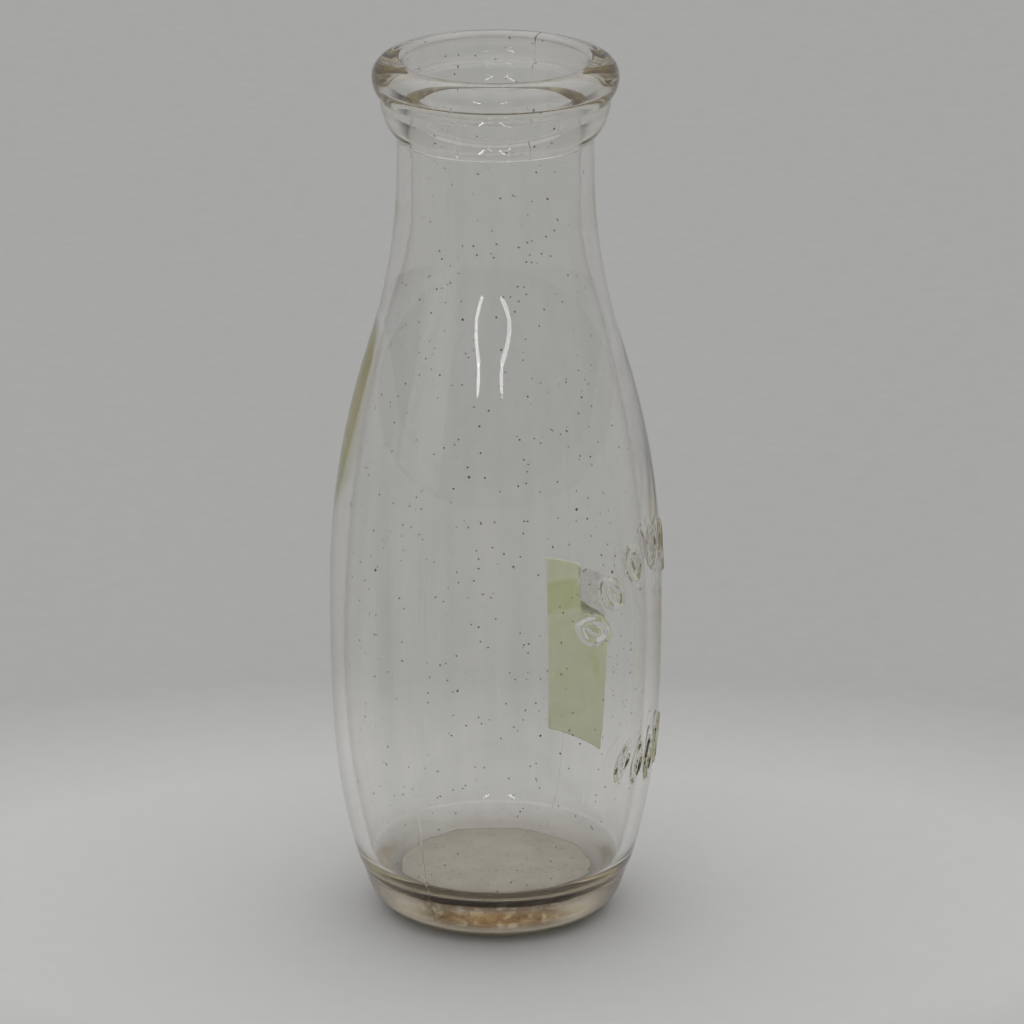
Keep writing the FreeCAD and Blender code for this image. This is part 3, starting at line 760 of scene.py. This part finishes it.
# ------------------------------------------------------------- floor and light
def make_floor():
    """A round pale floor, a hair below the bottle, with a pool of light painted into its
    colour around the bottle.
    """
    count, radius, level = 64, 6.0, -0.1 * MM
    turn = np.linspace(0, 2 * math.pi, count, endpoint=False)
    vertices = [(radius * math.cos(a), radius * math.sin(a), level) for a in turn]
    mesh = bpy.data.meshes.new("floor")
    mesh.from_pydata(vertices, [], [tuple(range(count))])
    floor = bpy.data.objects.new("floor", mesh)
    bpy.context.scene.collection.objects.link(floor)
    n = Nodes("pale_floor")
    away = n.add("VectorMath", Vector=n.scaled(0.6, 1.0, 1.0))
    away.operation = "LENGTH"
    # Painted light: the floor's colour is lightest round the bottle and darker further off.
    painted_light_pool = n.ramp(away.outputs["Value"], (0.085, 0.56), (0.15, 0.41))
    flecks = n.ramp(n.noise(160, 5, 0.6), (0.35, 0.0), (0.65, 0.03))
    flecked_painted_light = n.mix(flecks, painted_light_pool, (0.9, 0.9, 0.88))
    n.principled(Base_Color=flecked_painted_light, Roughness=0.8)
    n.bump(n.noise(400, 4, 0.55), 0.02 * MM)
    floor.data.materials.append(n.material)


SHOULDER = Vector((0, 0, 140 * MM))


def add_panel(name, foot, head, width, radiance):
    """A soft strip of light aimed at the bottle's shoulder. foot and head are
    the middles of its short ends, each as azimuth in degrees, distance and
    height."""
    low, high = (Vector((distance * math.sin(math.radians(azimuth)),
                         -distance * math.cos(math.radians(azimuth)), height))
                 for azimuth, distance, height in (foot, head))
    length = (high - low).length
    light = bpy.data.lights.new(name, "AREA")
    light.shape = "RECTANGLE"
    light.size, light.size_y = width, length
    light.energy = radiance * math.pi * width * length
    lamp = bpy.data.objects.new(name, light)
    along = (high - low).normalized()
    back = ((low + high) / 2 - SHOULDER).normalized()
    across = along.cross(back).normalized()
    facing = Matrix((across, along, across.cross(along))).transposed()
    lamp.matrix_world = Matrix.Translation((low + high) / 2) @ facing.to_4x4()
    lamp.visible_camera = False
    bpy.context.scene.collection.objects.link(lamp)


def add_sky():
    """A soft grey room: light overhead, a pale wall behind, dim in front and
    dimmer towards either side."""
    world = bpy.data.worlds.new("soft_room")
    world.use_nodes = True
    tree = world.node_tree
    place = tree.nodes.new("ShaderNodeTexCoord").outputs["Generated"]
    split = tree.nodes.new("ShaderNodeSeparateXYZ")
    tree.links.new(place, split.inputs[0])

    def ramp(source, start, end):
        """Maps the source softly from one (position, strength) to another."""
        node = tree.nodes.new("ShaderNodeMapRange")
        for name, (position, strength) in (("Min", start), ("Max", end)):
            node.inputs["From " + name].default_value = position
            node.inputs["To " + name].default_value = strength
        node.interpolation_type = "SMOOTHSTEP"
        tree.links.new(source, node.inputs["Value"])
        return node.outputs[0]

    def combine(operation, a, b):
        node = tree.nodes.new("ShaderNodeMath")
        node.operation = operation
        tree.links.new(a, node.inputs[0])
        tree.links.new(b, node.inputs[1])
        return node.outputs[0]

    overhead = ramp(split.outputs["Z"], (0.35, 0.0), (0.95, 1.1))
    walls = ramp(split.outputs["Y"], (-0.5, 0.16), (0.5, 0.38))
    left = ramp(split.outputs["X"], (-1.0, 0.12), (-0.5, 1.0))
    right = ramp(split.outputs["X"], (0.6, 1.0), (1.0, 0.4))
    sides = combine("MULTIPLY", left, right)
    strength = combine("ADD", overhead, combine("MULTIPLY", walls, sides))
    background = tree.nodes["Background"]
    background.inputs["Color"].default_value = (1.0, 0.995, 0.985, 1)
    tree.links.new(strength, background.inputs["Strength"])
    bpy.context.scene.world = world


def add_camera():
    """A long lens, a metre and a half in front, looking down on the bottle."""
    looking_down = math.radians(18.87)
    data = bpy.data.cameras.new("camera")
    data.sensor_width = 36
    data.lens = 249.4
    data.shift_x = 0.0161
    camera = bpy.data.objects.new("camera", data)
    camera.location = (0, -1.5113, 0.6106)
    camera.rotation_euler = (math.pi / 2 - looking_down, 0, 0)
    bpy.context.scene.collection.objects.link(camera)
    bpy.context.scene.camera = camera


make_floor()
add_sky()
add_panel("strip_left", (-14, 1.0, 0.40), (-21, 1.0, 0.60), 0.06, 9)
add_panel("strip_right", (5, 1.0, 0.40), (12, 1.0, 0.60), 0.05, 7)
add_panel("window_left", (-60, 1.4, 0.1), (-60, 1.4, 1.3), 0.9, 0.35)
add_camera()
bpy.context.scene.view_settings.view_transform = "Standard"

# Light goes round inside the thick lip and base many times before it leaves.
paths = bpy.context.scene.cycles
paths.max_bounces = 48
paths.glossy_bounces = 40
paths.transmission_bounces = 40
paths.transparent_max_bounces = 24

bpy.context.view_layer.update()
